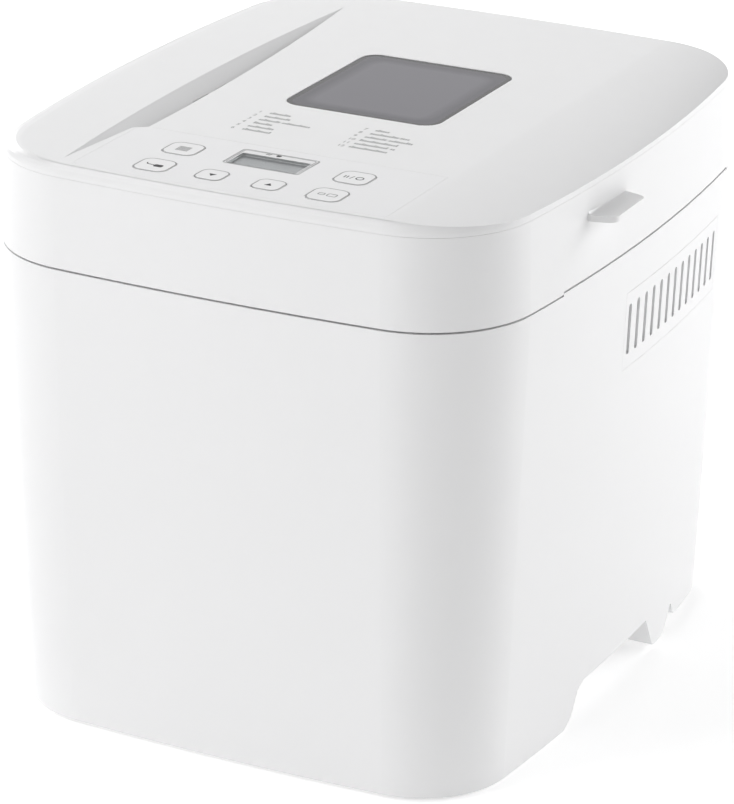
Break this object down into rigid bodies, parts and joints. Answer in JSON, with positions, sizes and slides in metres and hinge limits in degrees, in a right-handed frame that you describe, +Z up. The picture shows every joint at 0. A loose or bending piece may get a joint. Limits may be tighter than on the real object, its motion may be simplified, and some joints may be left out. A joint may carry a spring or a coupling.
{
  "type": "bread machine",
  "caption": "White rounded-box bread machine: lift-up lid with window, keys and finger tab; non-stick pan with paddle, bayonet lock, heater and belt drive inside.",
  "frame": {"origin": "on the surface the machine stands on, under the middle of its bounding box", "axes": "+X to the machine's right as seen from its front, +Y from its front to its back, +Z up"},
  "size_m": [0.3048, 0.332, 0.2891],
  "materials": {
    "casing_white": "smooth satin-gloss moulding",
    "film_white": "smooth printed film",
    "key_white": "smooth key caps",
    "display_clear": "clear display lens",
    "display_grey": "grey liquid-crystal panel",
    "board_green": "lacquered circuit board",
    "electronics_black": "moulded electronic parts",
    "window_tint": "dark tinted glass with a printed border",
    "inner_clear": "clear heat-proof glass",
    "silicone": "silicone rubber",
    "liner_steel": "bright sheet",
    "chamber_steel": "aluminised sheet",
    "chassis_steel": "zinc-plated sheet",
    "sheath": "heat-darkened sheath",
    "ceramic_white": "glazed ceramic",
    "nonstick": "grey-black non-stick coating",
    "cast_alloy": "die-cast alloy",
    "bright_steel": "ground steel",
    "bronze": "sintered bronze",
    "pulley_black": "moulded nylon",
    "belt_rubber": "moulded rubber",
    "motor_paint": "plated motor can"
  },
  "bodies": {
    "body": {"body_casing": "casing_white", "vent_grille": "casing_white", "base_tray": "casing_white", "body_screws": "bright_steel", "top_deck": "casing_white", "cord_gland": "pulley_black", "baking_chamber": "chamber_steel", "heat_shield": "chamber_steel", "heating_element": "sheath", "heater_clips": "chassis_steel", "heater_bushings": "ceramic_white", "temperature_probe": "sheath", "thermal_fuse": "electronics_black", "pan_seat": "cast_alloy", "chassis": "chassis_steel", "bearing_housing": "cast_alloy", "drive_belt": "belt_rubber", "motor": "motor_paint", "motor_bracket": "chassis_steel", "motor_capacitor": "motor_paint", "power_board": "board_green", "power_components": "electronics_black", "rubber_feet": "belt_rubber", "hinge_pins": "bright_steel"},
    "lid": {"lid_skirt": "casing_white", "lid_cover": "casing_white", "control_film": "film_white", "display_lens": "display_clear", "display_glass": "display_grey", "display_holder": "casing_white", "control_board": "board_green", "key_switches": "electronics_black", "window_glass": "window_tint", "window_duct": "casing_white", "inner_glass": "inner_clear", "inner_glass_seal": "silicone", "lid_liner": "liner_steel", "steam_duct": "casing_white", "lid_screws": "bright_steel"},
    "pan": {"bread_pan": "nonstick", "pan_foot_ring": "cast_alloy", "pan_bush": "bronze", "pan_shaft_seal": "silicone", "bail_lugs": "cast_alloy"},
    "bail": {"bail_handle": "bright_steel"},
    "paddle_shaft": {"pan_shaft": "bright_steel", "wing_coupling": "cast_alloy"},
    "paddle": {"kneading_paddle": "nonstick"},
    "drive": {"drive_shaft": "bright_steel", "drive_dog": "cast_alloy", "big_pulley": "pulley_black"},
    "rotor": {"motor_pulley": "pulley_black", "motor_shaft": "bright_steel"},
    "menu_key_cap": {"menu_key": "key_white"},
    "crust_key_cap": {"crust_key": "key_white"},
    "time_down_key_cap": {"time_down_key": "key_white"},
    "time_up_key_cap": {"time_up_key": "key_white"},
    "start_stop_key_cap": {"start_stop_key": "key_white"},
    "loaf_size_key_cap": {"loaf_size_key": "key_white"}
  },
  "joints": [
    {"name": "lid_hinge", "type": "hinge", "parent": "body", "child": "lid", "pos_m": [-0.14744, 0, 0.238], "axis": [0, -1, 0], "range_deg": [0, 95]},
    {"name": "pan_twist", "type": "hinge", "parent": "body", "child": "pan", "pos_m": [0.0045, 0.0162, 0.06], "axis": [0, 0, 1], "range_deg": [0, 12]},
    {"name": "bail_fold", "type": "hinge", "parent": "pan", "child": "bail", "pos_m": [0.0045, 0.0162, 0.195], "axis": [-1, 0, 0], "range_deg": [0, 155]},
    {"name": "drive_spin", "type": "hinge", "parent": "body", "child": "drive", "pos_m": [0.0045, 0.0162, 0.05], "axis": [0, 0, 1], "continuous": true},
    {"name": "paddle_spin", "type": "hinge", "parent": "pan", "child": "paddle_shaft", "pos_m": [0.0045, 0.0162, 0.08], "axis": [0, 0, 1], "continuous": true},
    {"name": "paddle_lift", "type": "slide", "parent": "paddle_shaft", "child": "paddle", "axis": [0, 0, 1], "range_m": [0, 0.03]},
    {"name": "rotor_spin", "type": "hinge", "parent": "body", "child": "rotor", "pos_m": [-0.062, -0.127, 0.05], "axis": [0, 0, 1], "continuous": true},
    {"name": "menu_key_press", "type": "slide", "parent": "lid", "child": "menu_key_cap", "axis": [0, 0, -1], "range_m": [0, 0.0006], "stiffness_N_per_m": 800, "springref_m": -0.0006},
    {"name": "crust_key_press", "type": "slide", "parent": "lid", "child": "crust_key_cap", "axis": [0, 0, -1], "range_m": [0, 0.0006], "stiffness_N_per_m": 800, "springref_m": -0.0006},
    {"name": "time_down_key_press", "type": "slide", "parent": "lid", "child": "time_down_key_cap", "axis": [0, 0, -1], "range_m": [0, 0.0006], "stiffness_N_per_m": 800, "springref_m": -0.0006},
    {"name": "time_up_key_press", "type": "slide", "parent": "lid", "child": "time_up_key_cap", "axis": [0, 0, -1], "range_m": [0, 0.0006], "stiffness_N_per_m": 800, "springref_m": -0.0006},
    {"name": "start_stop_key_press", "type": "slide", "parent": "lid", "child": "start_stop_key_cap", "axis": [0, 0, -1], "range_m": [0, 0.0006], "stiffness_N_per_m": 800, "springref_m": -0.0006},
    {"name": "loaf_size_key_press", "type": "slide", "parent": "lid", "child": "loaf_size_key_cap", "axis": [0, 0, -1], "range_m": [0, 0.0006], "stiffness_N_per_m": 800, "springref_m": -0.0006}
  ],
  "couplings": [
    {"joint": "paddle_spin", "follows": "drive_spin", "ratio": 1},
    {"joint": "rotor_spin", "follows": "drive_spin", "ratio": 4.0099}
  ]
}
